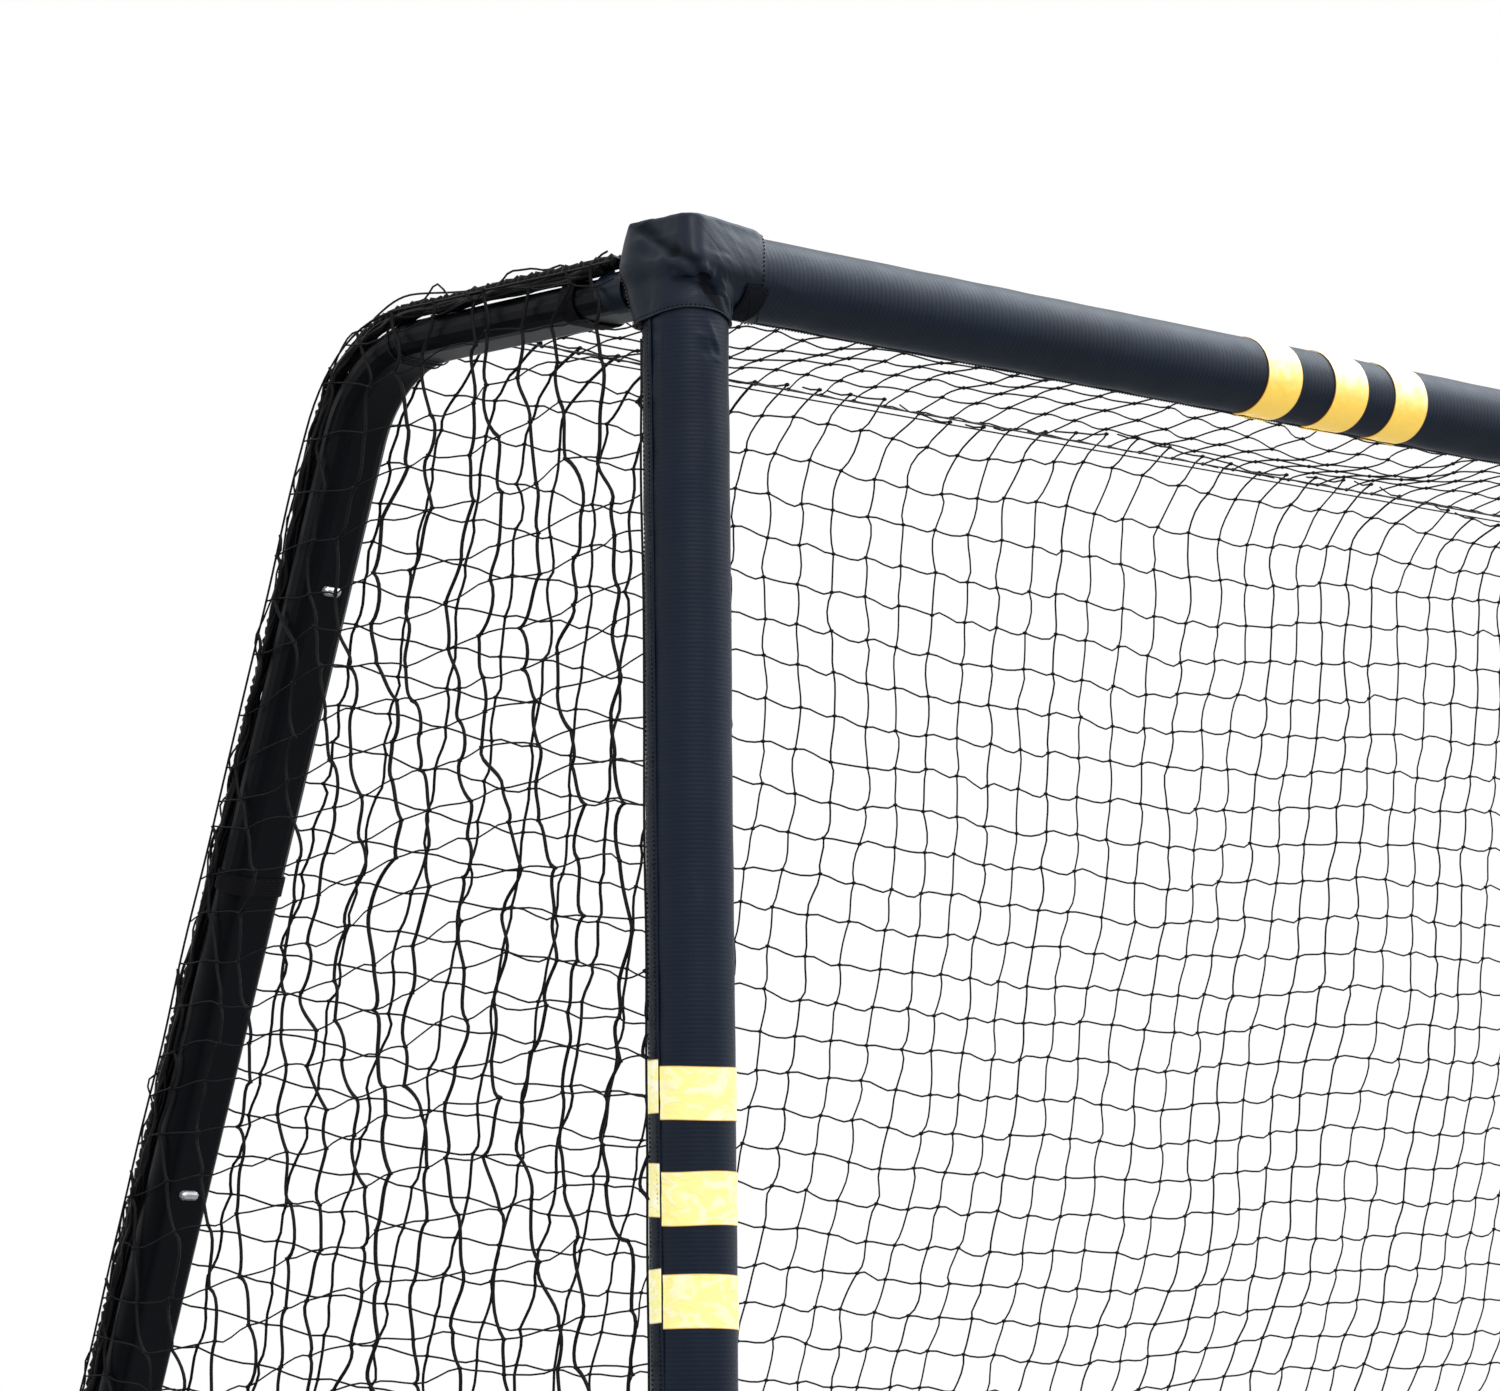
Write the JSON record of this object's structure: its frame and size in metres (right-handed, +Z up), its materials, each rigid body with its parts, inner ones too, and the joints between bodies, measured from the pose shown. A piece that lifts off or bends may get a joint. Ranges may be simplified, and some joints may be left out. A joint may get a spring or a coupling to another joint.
{
  "type": "golf practice net",
  "caption": "Free-standing golf practice net: padded, sleeved round-tube front frame, bent flat-oval side frames and slack knotted nets.",
  "frame": {"origin": "on the floor under the middle of the whole frame's box", "axes": "+X along the crossbar, to the right as seen from the open front; +Y to the rear; +Z up"},
  "size_m": [2.45, 1.0744, 2.133],
  "materials": {
    "sleeve_fabric": "coated fabric with fine ribs, satin",
    "cover_fabric": "smooth coated fabric, satin",
    "hook_and_loop": "matt fastener tape with a stitched edge",
    "foam": "matt closed-cell foam",
    "reflective_tape": "pale yellow reflective tape",
    "front_tube_steel": "black powder coat",
    "side_tube_steel": "black powder coat, satin",
    "plug_steel": "bare galvanised tube",
    "catch_steel": "polished button",
    "spring_steel": "spring steel",
    "foot_plastic": "moulded nylon",
    "rubber": "matt rubber",
    "net_cord": "knotted black twine",
    "edge_rope": "braided black rope",
    "line_cord": "thin taut cord",
    "tie_webbing": "black webbing"
  },
  "bodies": {
    "frame": {"back_net": "net_cord", "crossbar_foam": "foam", "crossbar_sleeve": "sleeve_fabric", "crossbar_splice": "foot_plastic", "left_corner_cover": "cover_fabric", "left_corner_elbow": "foot_plastic", "left_cover_tab": "hook_and_loop", "left_crossbar_bands": "reflective_tape", "left_crossbar_tube": "front_tube_steel", "left_edge_rope": "edge_rope", "left_front_foot": "foot_plastic", "left_front_pad": "rubber", "left_ground_rail": "side_tube_steel", "left_leg_splice": "plug_steel", "left_leg_tube": "side_tube_steel", "left_lower_catch_spring": "spring_steel", "left_post_bands": "reflective_tape", "left_post_foam": "foam", "left_post_sleeve": "sleeve_fabric", "left_post_tube_lower": "front_tube_steel", "left_post_tube_upper": "front_tube_steel", "left_rear_bar": "side_tube_steel", "left_rear_foot": "foot_plastic", "left_rear_pad": "rubber", "left_side_net": "net_cord", "left_side_tube": "side_tube_steel", "left_upper_catch_spring": "spring_steel", "net_ties": "tie_webbing", "rear_bar_splice": "foot_plastic", "right_corner_cover": "cover_fabric", "right_corner_elbow": "foot_plastic", "right_cover_tab": "hook_and_loop", "right_crossbar_bands": "reflective_tape", "right_crossbar_tube": "front_tube_steel", "right_edge_rope": "edge_rope", "right_front_foot": "foot_plastic", "right_front_pad": "rubber", "right_ground_rail": "side_tube_steel", "right_leg_splice": "plug_steel", "right_leg_tube": "side_tube_steel", "right_lower_catch_spring": "spring_steel", "right_post_bands": "reflective_tape", "right_post_foam": "foam", "right_post_sleeve": "sleeve_fabric", "right_post_tube_lower": "front_tube_steel", "right_post_tube_upper": "front_tube_steel", "right_rear_bar": "side_tube_steel", "right_rear_foot": "foot_plastic", "right_rear_pad": "rubber", "right_side_net": "net_cord", "right_side_tube": "side_tube_steel", "right_upper_catch_spring": "spring_steel", "top_net": "net_cord", "top_rear_line": "line_cord"},
    "left_lower_catch": {"left_lower_catch": "catch_steel"},
    "left_upper_catch": {"left_upper_catch": "catch_steel"},
    "right_lower_catch": {"right_lower_catch": "catch_steel"},
    "right_upper_catch": {"right_upper_catch": "catch_steel"}
  },
  "joints": [
    {"name": "left_lower_catch_press", "type": "slide", "parent": "frame", "child": "left_lower_catch", "axis": [0, 0.9367, 0.3502], "range_m": [0, 0.0049], "stiffness_N_per_m": 1500, "deforming": ["left_lower_catch_spring"]},
    {"name": "left_upper_catch_press", "type": "slide", "parent": "frame", "child": "left_upper_catch", "axis": [0, 0.9367, 0.3502], "range_m": [0, 0.0049], "stiffness_N_per_m": 1500, "deforming": ["left_upper_catch_spring"]},
    {"name": "right_lower_catch_press", "type": "slide", "parent": "frame", "child": "right_lower_catch", "axis": [0, 0.9367, 0.3502], "range_m": [0, 0.0049], "stiffness_N_per_m": 1500, "deforming": ["right_lower_catch_spring"]},
    {"name": "right_upper_catch_press", "type": "slide", "parent": "frame", "child": "right_upper_catch", "axis": [0, 0.9367, 0.3502], "range_m": [0, 0.0049], "stiffness_N_per_m": 1500, "deforming": ["right_upper_catch_spring"]}
  ]
}
